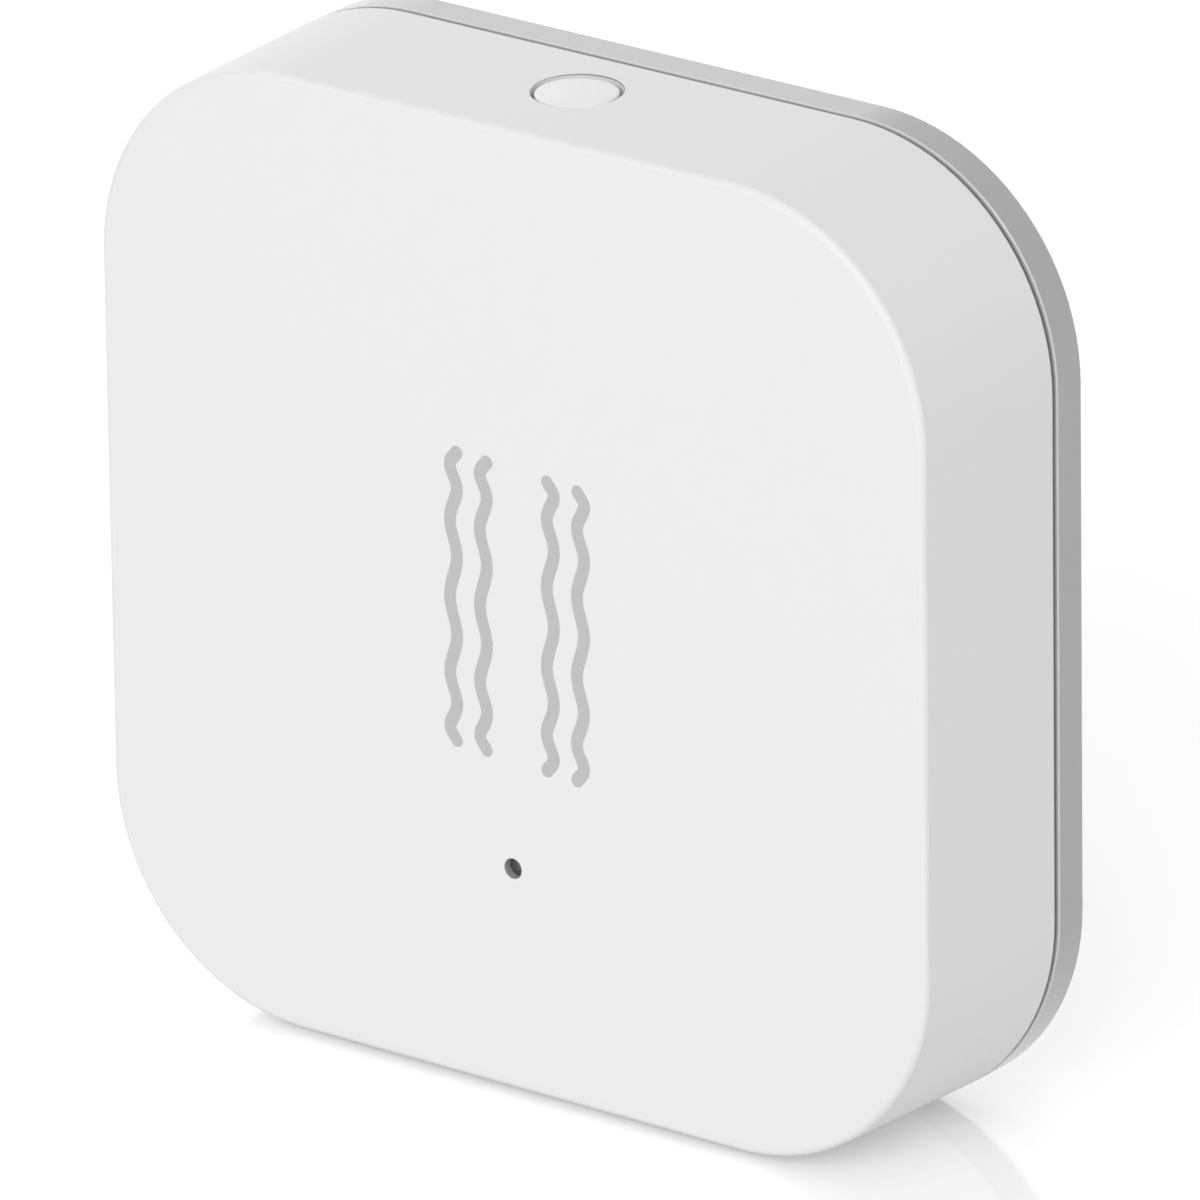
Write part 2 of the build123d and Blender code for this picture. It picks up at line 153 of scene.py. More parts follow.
class TagCrown(PropertyGroup):
    """Sizes of the rounded crown on the button cap."""

    radius: length_property("Radius", "Radius of the crown", 1.81)
    top_height: length_property("Top height", "Height of the crown's middle above the ground", 43.99)
    rise: length_property("Rise", "Rise of the crown's middle above its edge", 0.14)
    edge_radius: length_property("Edge radius", "Radius of the crown's rounded edge", 0.11)
    depth: length_property("Depth", "Depth from the crown's edge to its underside", 0.3)
    slope: number_property("Slope", "Slope towards the front, as the top wall has", 0.015)


class TagPad(PropertyGroup):
    """The die-cut foam pad on the back."""

    corner: length_property("Corner", "Radius of the pad's outer corners", 7.8)
    hole: length_property("Hole", "Radius of the hole round the battery door", 15.1)
    edge: length_property("Edge", "Rounding of the foam's cut edges", 0.22)
    waist: length_property("Waist", "How far the cut sides draw in at half thickness", 0.08)
    ripple: length_property("Ripple", "Unevenness of the sticky face", 0.03)


class TagScrew(PropertyGroup):
    """The two screws that hold the circuit board."""

    place_x: length_property("Place x", "Distance of each screw from the middle, across", 14.726)
    place_z: length_property("Place z", "Distance of each screw from the middle, upwards", 12.338)
    head: length_property("Head", "Radius of the pan head", 1.6)
    head_height: length_property("Head height", "Height of the pan head", 0.8)
    shank: length_property("Shank", "Radius of the thread's crests", 0.74)
    thread: length_property("Thread", "Depth of the thread", 0.14)
    thread_pitch: length_property("Thread pitch", "Distance from crest to crest", 0.5)
    shank_length: length_property("Shank length", "Length of the thread under the head", 3.1)
    recess: length_property("Recess", "Length of each arm of the cross recess", 0.85)
    recess_width: length_property("Recess width", "Width of the cross recess", 0.36)
    recess_depth: length_property("Recess depth", "Depth of the cross recess", 0.5)


class TagStage(PropertyGroup):
    """Floor, lamps, world and camera."""

    floor_size: number_property("Floor", "Side of the square floor", 6.0, "LENGTH")
    floor_colour: colour_property("Floor colour", "Pale floor", (0.86, 0.86, 0.86))
    floor_lift: number_property("Floor lift", "Light added to the floor in the picture", 0.29)
    floor_gloss: number_property("Floor roughness", "Roughness of the floor", 0.12)
    floor_ior: number_property("Floor IOR", "Index of refraction of the floor's gloss", 1.95)
    sky: number_property("Sky", "Even light from all sides", 0.627)
    lamp_power: number_property("Lamp", "Power of the softbox", 3.85, "POWER")
    lamp_side: number_property("Lamp side", "Side of the softbox", 0.55, "LENGTH")
    rim_power: number_property("Rim lamps", "Power that the small lamps behind are set by", 0.018, "POWER")
    rim_side: number_property("Rim lamp side", "Side of each small lamp", 0.08, "LENGTH")
    azimuth: number_property("Azimuth", "Turn to the right of the front", math.radians(37.506), "ROTATION")
    elevation: number_property("Elevation", "Camera's height angle", math.radians(20.979), "ROTATION")
    roll: number_property("Roll", "Camera's roll", math.radians(-0.781), "ROTATION")
    distance: number_property("Distance", "Camera's distance", 0.7739, "LENGTH")
    lens: number_property("Lens", "Focal length in millimetres on a 36 mm sensor", 546.28)
    picture_x: number_property("Picture x", "Where the aim lies across a 1200 wide picture", 609.386)
    picture_y: number_property("Picture y", "Where the aim lies down a 1200 high picture", 565.347)


# Shader node helpers

def connect(tree, sockets, sources):
    """Links each named input to a socket, or sets its value."""
    for name, source in sources.items():
        if isinstance(source, bpy.types.NodeSocket):
            tree.links.new(source, sockets[name])
        else:
            sockets[name].default_value = source


def add_node(tree, kind, inputs=None, **settings):
    """Adds a node; each input is a socket to link or a value to set."""
    made = tree.nodes.new(kind)
    for name, value in settings.items():
        setattr(made, name, value)
    connect(tree, made.inputs, inputs or {})
    return made


def calculate(tree, operation, first, second=0.0):
    """A Math node's result."""
    return add_node(tree, "ShaderNodeMath", {0: first, 1: second}, operation=operation).outputs[0]


def average(tree, first, second):
    """The middle between two values."""
    return calculate(tree, "MULTIPLY", calculate(tree, "ADD", first, second), 0.5)


def sway(tree, base, value, amount):
    """A base value that a 0 to 1 value moves up or down, by half an amount at most."""
    swing = calculate(tree, "MULTIPLY", calculate(tree, "SUBTRACT", value, 0.5), amount)
    return calculate(tree, "ADD", base, swing)


def mix_colour(tree, share, low, high):
    """A colour between two colours."""
    return add_node(tree, "ShaderNodeMix", {0: share, 6: low, 7: high}, data_type="RGBA").outputs[2]


def dimmed(tree, colour, share):
    """A colour with a share of its brightness."""
    return add_node(tree, "ShaderNodeHueSaturation", {"Color": colour, "Value": share}).outputs["Color"]


def spread(tree, value, low, high):
    """Maps 0 to 1 onto low to high."""
    inputs = {"Value": value, "To Min": low, "To Max": high}
    return add_node(tree, "ShaderNodeMapRange", inputs).outputs["Result"]


def soft_noise(tree, point, scale, detail):
    """Noise from 0 to 1."""
    inputs = {"Vector": point, "Scale": scale, "Detail": detail}
    return add_node(tree, "ShaderNodeTexNoise", inputs).outputs["Fac"]


def cell_distance(tree, point, feature, inputs):
    """A distance in a pattern of cells: to a cell's centre or to its edge."""
    inputs = {"Vector": point, **inputs}
    return add_node(tree, "ShaderNodeTexVoronoi", inputs, feature=feature).outputs["Distance"]


def new_effect(name, inputs, outputs):
    """An empty shader node group with named sockets: its tree, its inputs and its output node."""
    tree = bpy.data.node_groups.new(name, "ShaderNodeTree")
    for socket, kind, default in inputs:
        made = tree.interface.new_socket(name=socket, in_out="INPUT", socket_type=kind)
        made.default_value = default
    for socket, kind in outputs:
        tree.interface.new_socket(name=socket, in_out="OUTPUT", socket_type=kind)
    return tree, tree.nodes.new("NodeGroupInput").outputs, tree.nodes.new("NodeGroupOutput")


def place(tree, stretch=(1.0, 1.0, 1.0)):
    """The point of the surface in the tag's own frame, stretched along each axis."""
    point = add_node(tree, "ShaderNodeTexCoord").outputs["Object"]
    return add_node(tree, "ShaderNodeMapping", {"Vector": point, "Scale": stretch}).outputs["Vector"]


def along(tree, axis):
    """The place of the surface along one axis of the tag's own frame."""
    return add_node(tree, "ShaderNodeSeparateXYZ", {"Vector": place(tree)}).outputs[axis]


def effect(name):
    """A shared effect, built the first time that a material asks for it."""
    return bpy.data.node_groups.get(name) or EFFECTS[name]()


TEXTURE = [("Colour", "NodeSocketColor"), ("Roughness", "NodeSocketFloat"), ("Height", "NodeSocketFloat")]


def mould_texture():
    """Fine grain, slight tint and uneven sheen of moulded plastic."""
    tree, given, result = new_effect(
        "mould_texture",
        [
            ("Colour", "NodeSocketColor", (0.8, 0.8, 0.8, 1)),
            ("Tint", "NodeSocketFloat", 0.01),
            ("Grain Scale", "NodeSocketFloat", 7000.0),
            ("Roughness", "NodeSocketFloat", 0.4),
            ("Roughness Spread", "NodeSocketFloat", 0.04),
        ],
        TEXTURE,
    )
    point = place(tree)
    broad = soft_noise(tree, point, 160.0, 3.0)
    middle = soft_noise(tree, point, 1100.0, 4.0)
    darker = dimmed(tree, given["Colour"], calculate(tree, "SUBTRACT", 1.0, given["Tint"]))
    connect(tree, result.inputs, {
        "Colour": mix_colour(tree, average(tree, broad, middle), darker, given["Colour"]),
        "Roughness": sway(tree, given["Roughness"], middle, given["Roughness Spread"]),
        "Height": soft_noise(tree, point, given["Grain Scale"], 2.0),
    })
    return tree


def brushed_metal():
    """Streaks of rolled or brushed metal along the x axis."""
    tree, given, result = new_effect(
        "brushed_metal",
        [
            ("Colour", "NodeSocketColor", (0.7, 0.7, 0.7, 1)),
            ("Streaks", "NodeSocketFloat", 3000.0),
            ("Roughness", "NodeSocketFloat", 0.3),
        ],
        TEXTURE,
    )
    streak = soft_noise(tree, place(tree, (0.06, 1.0, 1.0)), given["Streaks"], 5.0)
    stain = soft_noise(tree, place(tree), 420.0, 4.0)
    dull = dimmed(tree, given["Colour"], 0.82)
    connect(tree, result.inputs, {
        "Colour": mix_colour(tree, average(tree, streak, stain), dull, given["Colour"]),
        "Roughness": sway(tree, given["Roughness"], stain, 0.3),
        "Height": streak,
    })
    return tree


def foam_cells():
    """Small open cells of cut foam."""
    tree, given, result = new_effect(
        "foam_cells",
        [("Colour", "NodeSocketColor", (0.7, 0.7, 0.7, 1)), ("Cell Scale", "NodeSocketFloat", 4500.0)],
        [("Colour", "NodeSocketColor"), ("Height", "NodeSocketFloat")],
    )
    point = place(tree)
    cell = cell_distance(tree, point, "SMOOTH_F1", {"Scale": given["Cell Scale"]})
    patch = soft_noise(tree, point, 500.0, 3.0)
    dark = dimmed(tree, given["Colour"], 0.78)
    share = average(tree, calculate(tree, "SUBTRACT", 1.0, cell), patch)
    connect(tree, result.inputs, {
        "Colour": mix_colour(tree, share, dark, given["Colour"]),
        "Height": calculate(tree, "MULTIPLY", cell, -1.0),
    })
    return tree


def board_tracks():
    """Masks of the copper tracks under the lacquer and of the plated holes between layers."""
    tree, given, result = new_effect(
        "board_tracks",
        [("Track Scale", "NodeSocketFloat", 620.0)],
        [("Tracks", "NodeSocketFloat"), ("Holes", "NodeSocketFloat")],
    )
    point = place(tree, (1.0, 0.0, 1.0))
    cells = {"Scale": given["Track Scale"], "Randomness": 0.75}
    half_track, hole = 0.07, 0.14
    edge = cell_distance(tree, point, "DISTANCE_TO_EDGE", cells)
    centre = cell_distance(tree, point, "F1", cells)
    connect(tree, result.inputs, {
        "Tracks": calculate(tree, "LESS_THAN", edge, half_track),
        "Holes": calculate(tree, "LESS_THAN", centre, hole),
    })
    return tree


def groove_shade():
    """Mask that is 1 up to the depth Groove and fades to 0 at the depth Clear, in the tag's own frame."""
    tree, given, result = new_effect(
        "groove_shade",
        [("Groove", "NodeSocketFloat", 0.0), ("Clear", "NodeSocketFloat", 0.001)],
        [("Mask", "NodeSocketFloat")],
    )
    inputs = {
        "Value": along(tree, "Y"),
        "From Min": given["Groove"],
        "From Max": given["Clear"],
        "To Min": 1.0,
        "To Max": 0.0,
    }
    faded = add_node(tree, "ShaderNodeMapRange", inputs, interpolation_type="SMOOTHSTEP")
    connect(tree, result.inputs, {"Mask": faded.outputs["Result"]})
    return tree


def round_spot():
    """Mask of what lies within a radius of an axis; Across is 0 along that axis and 1 across it."""
    tree, given, result = new_effect(
        "round_spot",
        [
            ("Middle", "NodeSocketVector", (0.0, 0.0, 0.0)),
            ("Across", "NodeSocketVector", (1.0, 1.0, 0.0)),
            ("Radius", "NodeSocketFloat", 0.001),
        ],
        [("Mask", "NodeSocketFloat")],
    )
    kind = "ShaderNodeVectorMath"
    aside = add_node(tree, kind, {0: place(tree), 1: given["Middle"]}, operation="SUBTRACT").outputs[0]
    level = add_node(tree, kind, {0: aside, 1: given["Across"]}, operation="MULTIPLY").outputs[0]
    reach = add_node(tree, kind, {0: level}, operation="LENGTH").outputs["Value"]
    connect(tree, result.inputs, {"Mask": calculate(tree, "LESS_THAN", reach, given["Radius"])})
    return tree


EFFECTS = {
    "mould_texture": mould_texture,
    "groove_shade": groove_shade,
    "round_spot": round_spot,
    "brushed_metal": brushed_metal,
    "foam_cells": foam_cells,
    "board_tracks": board_tracks,
}


# Materials

def opaque(colour):
    """A colour with full alpha."""
    return (*colour[:3], 1.0)


def new_material(name):
    """An empty material: the material, its tree and its Principled shader."""
    made = bpy.data.materials.new(name)
    made.use_nodes = True
    shader = made.node_tree.nodes["Principled BSDF"]
    return made, made.node_tree, shader


def use_effect(tree, name, inputs):
    """Places a shared effect in a material, with its own values."""
    return add_node(tree, "ShaderNodeGroup", inputs, node_tree=effect(name)).outputs


def bump(tree, shader, height, depth):
    """Feeds a height to the shader's normal."""
    made = add_node(tree, "ShaderNodeBump", {"Height": height, "Distance": depth, "Strength": 1.0})
    tree.links.new(made.outputs["Normal"], shader.inputs["Normal"])


def moulded_plastic(name, colour, roughness, tint=0.015, grain=None, depth=None, coat=0.0):
    """Moulded plastic with its grain, slight tint and uneven sheen."""
    finish = bpy.context.scene.tag_finish
    made, tree, shader = new_material(name)
    texture = use_effect(tree, "mould_texture", {
        "Colour": opaque(colour),
        "Tint": tint,
        "Grain Scale": 1.0 / (grain or finish.grain_size),
        "Roughness": roughness,
        "Roughness Spread": 0.06,
    })
    connect(tree, shader.inputs, {
        "Base Color": texture["Colour"],
        "Roughness": texture["Roughness"],
        "IOR": 1.5,
        "Coat Weight": coat,
        "Coat Roughness": 0.2,
    })
    bump(tree, shader, texture["Height"], depth or finish.grain_depth)
    return made


def tone(made, mask, grey):
    """Mixes a plain grey into a plastic where a mask is 1."""
    tree = made.node_tree
    base = tree.nodes["Principled BSDF"].inputs["Base Color"]
    tree.links.new(mix_colour(tree, mask, base.links[0].from_socket, opaque((grey, grey, grey))), base)


def paint_hollow_shade(made, mask, grey):
    """Darkens and dulls a plastic where a mask is 1, as painted shade in a hollow."""
    tone(made, mask, grey)
    tree = made.node_tree
    shader = tree.nodes["Principled BSDF"]
    rough, coat = shader.inputs["Roughness"], shader.inputs["Coat Weight"]
    tree.links.new(calculate(tree, "MAXIMUM", rough.links[0].from_socket, mask), rough)
    if coat.default_value > 0:
        clear = calculate(tree, "SUBTRACT", 1.0, mask)
        tree.links.new(calculate(tree, "MULTIPLY", clear, coat.default_value), coat)


def rim_of_bore(tree):
    """Mask of the wall of the button's bore, above the top of the cap that sits in it, where shade is
    painted.
    """
    inside = use_effect(tree, "round_spot", {"Middle": CAP_MIDDLE, "Radius": BORE_SHADE})["Mask"]
    above = calculate(tree, "GREATER_THAN", along(tree, "Z"), CAP_HIGH.z - 0.02 * MM)
    return calculate(tree, "MULTIPLY", inside, above)


def shell_plastic(finish):
    """White plastic with painted shade in the button's bore, at the edge of the groove and in the pinhole.
    """
    made = moulded_plastic("white_shell_plastic", finish.shell_colour, 0.46)
    tree = made.node_tree
    edge = {"Groove": PARTING_Y, "Clear": PARTING_Y - SHELL_EDGE_SHADE}
    pinhole = {"Middle": (PIPE_LOW + PIPE_HIGH) / 2, "Across": (1.0, 0.0, 1.0), "Radius": PINHOLE_SHADE}
    # Painted shade: darker grey on the bore's wall above the cap, at the shell's edge by the groove and in
    # the pinhole
    paint_hollow_shade(made, rim_of_bore(tree), 0.36)
    paint_hollow_shade(made, use_effect(tree, "groove_shade", edge)["Mask"], 0.56)
    paint_hollow_shade(made, use_effect(tree, "round_spot", pinhole)["Mask"], 0.42)
    return made


def cover_plastic(finish):
    """Silver grey plastic with painted shade behind the groove and a painted highlight line along its front
    edge.
    """
    made = moulded_plastic("silver_grey_plastic", finish.cover_colour, 0.34, tint=0.03, coat=1.0)
    tree = made.node_tree
    far_side = PARTING_Y + finish.groove_width
    line, shade = [
        use_effect(tree, "groove_shade", {"Groove": far_side + start, "Clear": far_side + end})["Mask"]
        for start, end in (COVER_HIGHLIGHT, COVER_SHADE)
    ]
    # Painted highlight: a lighter grey line along the cover's front edge
    tone(made, line, 0.66)
    # Painted shade: darker, duller grey on the cover behind the groove
    paint_hollow_shade(made, shade, 0.36)
    return made


def worked_metal(name, colour, roughness, streaks=3000.0):
    """Rolled or brushed metal."""
    made, tree, shader = new_material(name)
    texture = use_effect(tree, "brushed_metal", {
        "Colour": opaque(colour),
        "Streaks": streaks,
        "Roughness": roughness,
    })
    connect(tree, shader.inputs, {
        "Base Color": texture["Colour"],
        "Roughness": texture["Roughness"],
        "Metallic": 1.0,
    })
    bump(tree, shader, texture["Height"], 0.002 * MM)
    return made


def clear_plastic(name):
    """Clear moulded plastic of the light pipe."""
    made, tree, shader = new_material(name)
    texture = use_effect(tree, "mould_texture", {
        "Colour": (0.9, 0.92, 0.93, 1.0),
        "Tint": 0.05,
        "Grain Scale": 9000.0,
        "Roughness": 0.12,
        "Roughness Spread": 0.1,
    })
    connect(tree, shader.inputs, {
        "Base Color": texture["Colour"],
        "Roughness": texture["Roughness"],
        "IOR": 1.49,
        "Transmission Weight": 0.92,
    })
    return made


def lacquered_board(name):
    """Green lacquer over copper tracks, with plated holes."""
    finish = bpy.context.scene.tag_finish
    made, tree, shader = new_material(name)
    masks = use_effect(tree, "board_tracks", {"Track Scale": 620.0})
    texture = use_effect(tree, "mould_texture", {
        "Colour": opaque(finish.board_colour),
        "Tint": 0.12,
        "Grain Scale": 9000.0,
        "Roughness": 0.3,
        "Roughness Spread": 0.1,
    })
    over_copper = opaque([share * 1.7 for share in finish.board_colour])
    plating = (0.62, 0.6, 0.5, 1.0)
    lacquer = mix_colour(tree, masks["Tracks"], texture["Colour"], over_copper)
    connect(tree, shader.inputs, {
        "Base Color": mix_colour(tree, masks["Holes"], lacquer, plating),
        "Roughness": texture["Roughness"],
        "Metallic": calculate(tree, "MULTIPLY", masks["Holes"], 0.9),
    })
    bump(tree, shader, masks["Tracks"], 0.03 * MM)
    return made


def cut_foam(name, colour, cell):
    """Soft foam with small cells."""
    made, tree, shader = new_material(name)
    texture = use_effect(tree, "foam_cells", {"Colour": opaque(colour), "Cell Scale": 1.0 / cell})
    connect(tree, shader.inputs, {"Base Color": texture["Colour"], "Roughness": 0.92, "Sheen Weight": 0.15})
    bump(tree, shader, texture["Height"], 0.04 * MM)
    return made


def dress(node, material):
    """Gives a CAD node its material."""
    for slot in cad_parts[node].material_slots:
        slot.material = material


# Mesh helpers

def new_piece(name, mesh, material, body):
    """A finished piece that rides on a body."""
    piece = bpy.data.objects.new(name, mesh)
    bpy.context.scene.collection.objects.link(piece)
    mesh.materials.append(material)
    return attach(piece, body)


def bridge(mesh, first, second):
    """Quads between two closed rows of vertices."""
    count = len(first)
    for index in range(count):
        following = (index + 1) % count
        mesh.faces.new((first[index], first[following], second[following], second[index]))


def finish_mesh(mesh, name, smooth_angle=math.radians(40)):
    """Turns an edited mesh into mesh data with smooth shading that breaks at sharp edges."""
    bmesh.ops.remove_doubles(mesh, verts=mesh.verts, dist=1e-8)
    bmesh.ops.recalc_face_normals(mesh, faces=mesh.faces)
    data = bpy.data.meshes.new(name)
    mesh.to_mesh(data)
    mesh.free()
    data.shade_smooth()
    data.set_sharp_from_angle(angle=smooth_angle)
    return data


def wave_point(waves, turn, side, middle):
    """A point on a wave line's middle, by its place along the bends: x and z from the face's middle."""
    z = waves.bend_span * math.sin(waves.bend_turn * turn)
    x = middle.x + side * waves.swing * math.cos(math.pi * turn)
    return Vector((x + z * math.sin(waves.lean), 0, middle.z + z))


def wave_mesh(waves, side, middle, name):
    """One printed line: a thin wavy ribbon of ink with round ends."""
    steps_per_bend = 18
    end_steps = 10
    tip_share = 0.02
    half = waves.stroke / 2
    count = 2 * waves.bends * steps_per_bend
    reach = waves.bends - WAVE_END_CUT
    line = [wave_point(waves, (2 * index / count - 1) * reach, side, middle) for index in range(count + 1)]
    tangents = [
        (line[min(index + 1, count)] - line[max(index - 1, 0)]).normalized()
        for index in range(count + 1)
    ]
    spots = [(point, tangent, half) for point, tangent in zip(line, tangents)]
    for index in range(1, end_steps + 1):
        angle = math.pi / 2 * index / end_steps
        width = half * max(math.cos(angle), tip_share)
        spots.insert(0, (line[0] - tangents[0] * half * math.sin(angle), tangents[0], width))
        spots.append((line[-1] + tangents[-1] * half * math.sin(angle), tangents[-1], width))
    ribbon = bmesh.new()
    rows = []
    face_y = FRONT_Y - waves.ink_thickness
    for point, tangent, width in spots:
        across = Vector((tangent.z, 0, -tangent.x)) * width
        z = point.z + MIDDLE_Z
        rows.append([
            ribbon.verts.new((point.x - across.x, FRONT_Y, z - across.z)),
            ribbon.verts.new((point.x - across.x, face_y, z - across.z)),
            ribbon.verts.new((point.x + across.x, face_y, z + across.z)),
            ribbon.verts.new((point.x + across.x, FRONT_Y, z + across.z)),
        ])
    for first, second in zip(rows, rows[1:]):
        bridge(ribbon, first, second)
    ribbon.faces.new(rows[0])
    ribbon.faces.new(rows[-1])
    return finish_mesh(ribbon, name)


def crown_mesh(crown, name):
    """The cap's rounded crown, turned round the button's axis and leaned with the top wall."""
    face_steps = 8
    edge_steps = 6
    count = 72
    flat = crown.radius - crown.edge_radius
    profile = [
        (flat * step / face_steps, crown.rise * (1 - (step / face_steps) ** 2))
        for step in range(1, face_steps + 1)
    ]
    for step in range(1, edge_steps + 1):
        angle = math.pi / 2 * step / edge_steps
        profile.append((
            flat + crown.edge_radius * math.sin(angle),
            -crown.edge_radius * (1 - math.cos(angle)),
        ))
    profile.append((crown.radius, -crown.depth))
    turned = bmesh.new()

    def spot(reach, height, index):
        angle = 2 * math.pi * index / count
        across = reach * math.sin(angle)
        z = crown.top_height - crown.rise + height + across * crown.slope
        return turned.verts.new((CAP_MIDDLE.x + reach * math.cos(angle), CAP_MIDDLE.y + across, z))

    rows = [[spot(reach, height, index) for index in range(count)] for reach, height in profile]
    for first, second in zip(rows, rows[1:]):
        bridge(turned, first, second)
    top = spot(0.0, crown.rise, 0)
    for index in range(count):
        turned.faces.new((top, rows[0][index], rows[0][(index + 1) % count]))
    turned.faces.new(rows[-1])
    return finish_mesh(turned, name, math.radians(50))


def outer_reach(angle, half_side, corner):
    """Distance from the middle to the edge of a rounded square, along a ray."""
    across, up = abs(math.cos(angle)), abs(math.sin(angle))
    if across < up:
        across, up = up, across
    reach = half_side / across
    flat = half_side - corner
    if reach * up <= flat:
        return reach
    middle = flat * (across + up)
    return middle + math.sqrt(max(middle * middle - 2 * flat * flat + corner * corner, 0.0))


def pad_mesh(pad, name):
    """Die-cut foam: a rounded square with a round hole, soft cut edges and a slightly uneven face."""
    turns = 288
    face_steps = 14
    edge_steps = 5
    side_steps = 6
    ripple_scale = 420.0
    half_side = PAD_HIGH.x
    low_y, high_y = PAD_LOW.y, PAD_HIGH.y
    thickness = high_y - low_y
    foam = bmesh.new()
    columns = []
    for turn in range(turns):
        angle = 2 * math.pi * turn / turns
        outer = outer_reach(angle, half_side, pad.corner)
        inner = pad.hole
        path = []
        for step in range(side_steps + 1):
            share = step / side_steps
            draw = pad.waist * math.sin(math.pi * share)
            path.append((outer - draw, low_y + (thickness - pad.edge) * share))
        for step in range(1, edge_steps + 1):
            bend = math.pi / 2 * step / edge_steps
            path.append((outer - pad.edge * (1 - math.cos(bend)), high_y - pad.edge * (1 - math.sin(bend))))
        for step in range(1, face_steps):
            share = step / face_steps
            path.append((outer - pad.edge - (outer - inner - 2 * pad.edge) * share, high_y))
        for step in range(edge_steps + 1):
            bend = math.pi / 2 * (1 - step / edge_steps)
            path.append((inner + pad.edge * (1 - math.cos(bend)), high_y - pad.edge * (1 - math.sin(bend))))
        for step in range(1, side_steps + 1):
            share = 1 - step / side_steps
            draw = pad.waist * math.sin(math.pi * share)
            path.append((inner + draw, low_y + (thickness - pad.edge) * share))
        column = []
        for reach, y in path:
            x, z = reach * math.cos(angle), reach * math.sin(angle)
            uneven = 0.5 + 0.5 * noise.noise(Vector((x, 0, z)) * ripple_scale)
            dip = pad.ripple * uneven * (y - low_y) / thickness
            column.append(foam.verts.new((x, y - dip, z + MIDDLE_Z)))
        columns.append(column)
    for turn in range(turns):
        bridge(foam, columns[turn], columns[(turn + 1) % turns])
    return finish_mesh(foam, name, math.radians(60))


def ring(mesh, middle, y, radii):
    """A ring of vertices round an axis along y, with its own radius at each step."""
    made = []
    for turn, radius in enumerate(radii):
        angle = 2 * math.pi * turn / len(radii)
        x, z = middle.x + radius * math.cos(angle), middle.z + radius * math.sin(angle)
        made.append(mesh.verts.new((x, y, z)))
    return made


def screw_mesh(screw, middle, name):
    """A pan head screw with a cut thread, its head towards the back."""
    turns = 48
    head_steps = 8
    steps_per_pitch = 6
    rim_share, tip_share = 0.45, 0.12
    made = bmesh.new()
    rows = []
    for step in range(1, head_steps + 1):
        angle = math.pi / 2 * step / head_steps
        height = screw.head_height * (rim_share + (1 - rim_share) * math.cos(angle))
        rows.append(ring(made, middle, BOARD_BACK_Y + height, [screw.head * math.sin(angle)] * turns))
    for radius in (screw.head, screw.shank):
        rows.append(ring(made, middle, BOARD_BACK_Y, [radius] * turns))
    count = int(screw.shank_length / screw.thread_pitch * steps_per_pitch)
    for step in range(1, count + 1):
        depth = step * screw.thread_pitch / steps_per_pitch
        taper = min(1.0, (screw.shank_length - depth) / (2 * screw.shank) + tip_share)
        radii = []
        for turn in range(turns):
            share = (depth / screw.thread_pitch + turn / turns) % 1.0
            radii.append((screw.shank - screw.thread * abs(2 * share - 1)) * taper)
        rows.append(ring(made, middle, BOARD_BACK_Y - depth, radii))
    for first, second in zip(rows, rows[1:]):
        bridge(made, first, second)
    made.faces.new(rows[0])
    made.faces.new(rows[-1])
    return finish_mesh(made, name)


def cross_cutter(screw, middle):
    """A tapered cross that cuts a screw's recess."""
    half = screw.recess_width / 2
    corners = []
    for quarter in range(4):
        turn = Matrix.Rotation(quarter * math.pi / 2, 2)
        for x, z in ((half, half), (screw.recess, half), (screw.recess, -half)):
            corners.append(turn @ Vector((x, -z)))
    floor, floor_share = screw.head_height - screw.recess_depth, 0.55
    above_head = screw.head_height * 1.4
    cutter = bmesh.new()
    rows = []
    for height, share in ((floor, floor_share), (above_head, 1.0)):
        y = BOARD_BACK_Y + height
        rows.append([
            cutter.verts.new((middle.x + corner.x * share, y, middle.z + corner.y * share))
            for corner in corners
        ])
    bridge(cutter, rows[0], rows[1])
    cutter.faces.new(rows[0])
    cutter.faces.new(rows[1])
    data = finish_mesh(cutter, "recess_cutter")
    made = bpy.data.objects.new("recess_cutter", data)
    bpy.context.scene.collection.objects.link(made)
    return made


def cut_with(piece, cutter):
    """Cuts one object out of another for good and removes the cutter."""
    modifier = piece.modifiers.new("recess", "BOOLEAN")
    modifier.object = cutter
    modifier.solver = "EXACT"
    graph = bpy.context.evaluated_depsgraph_get()
    data = bpy.data.meshes.new_from_object(piece.evaluated_get(graph))
    piece.modifiers.clear()
    piece.data = data
    bpy.data.objects.remove(cutter)


# Operators

class TAG_OT_housing(Operator):
    """Finish the white shell, grey cover, door, button and light pipe"""

    bl_idname = "tag.housing"
    bl_label = "Finish Housing"

    def execute(self, context):
        finish = context.scene.tag_finish
        # The button's plastic is lighter than the shell's as painted light on the cap
        button = moulded_plastic("white_button_plastic", finish.lit_button_colour, 0.36)
        door = moulded_plastic(
            "silver_grey_door_plastic",
            finish.cover_colour,
            0.4,
            tint=0.03,
            coat=0.25,
            depth=0.006 * MM,
        )
        crown = crown_mesh(context.scene.tag_crown, "button_crown")
        dress("front_shell", shell_plastic(finish))
        dress("button_cap", button)
        new_piece("button_crown", crown, button, "button")
        dress("back_cover", cover_plastic(finish))
        dress("battery_door", door)
        dress("light_pipe", clear_plastic("clear_pipe_plastic"))
        return {"FINISHED"}


